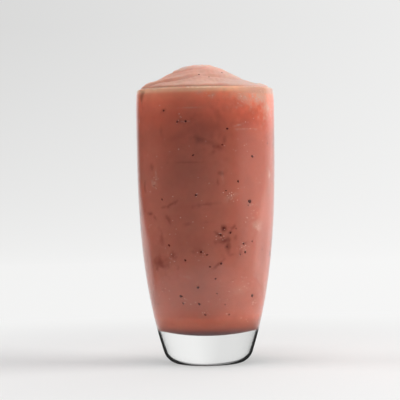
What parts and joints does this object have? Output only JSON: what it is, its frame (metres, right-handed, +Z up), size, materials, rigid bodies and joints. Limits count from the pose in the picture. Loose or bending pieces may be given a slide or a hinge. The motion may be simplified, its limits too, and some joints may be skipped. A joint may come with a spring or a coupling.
{
  "type": "strawberry smoothie in a glass",
  "caption": "Thick pink strawberry smoothie filling a tall clear tumbler with a rounded solid base, heaped in a soft swirl above the rim",
  "frame": {"origin": "on the surface that the glass stands on, under the middle of its foot", "axes": "+Z up along the axis of the glass; -Y is the side that the picture shows, with +X on its right"},
  "size_m": [0.0766, 0.0766, 0.1658],
  "materials": {
    "clear_glass": "clear, polished, colourless",
    "smoothie": "opaque, moist and soft, dusty pink with darker fruit pulp and seeds"
  },
  "bodies": {
    "root": {"glass": "clear_glass", "smoothie": "smoothie"}
  },
  "joints": []
}
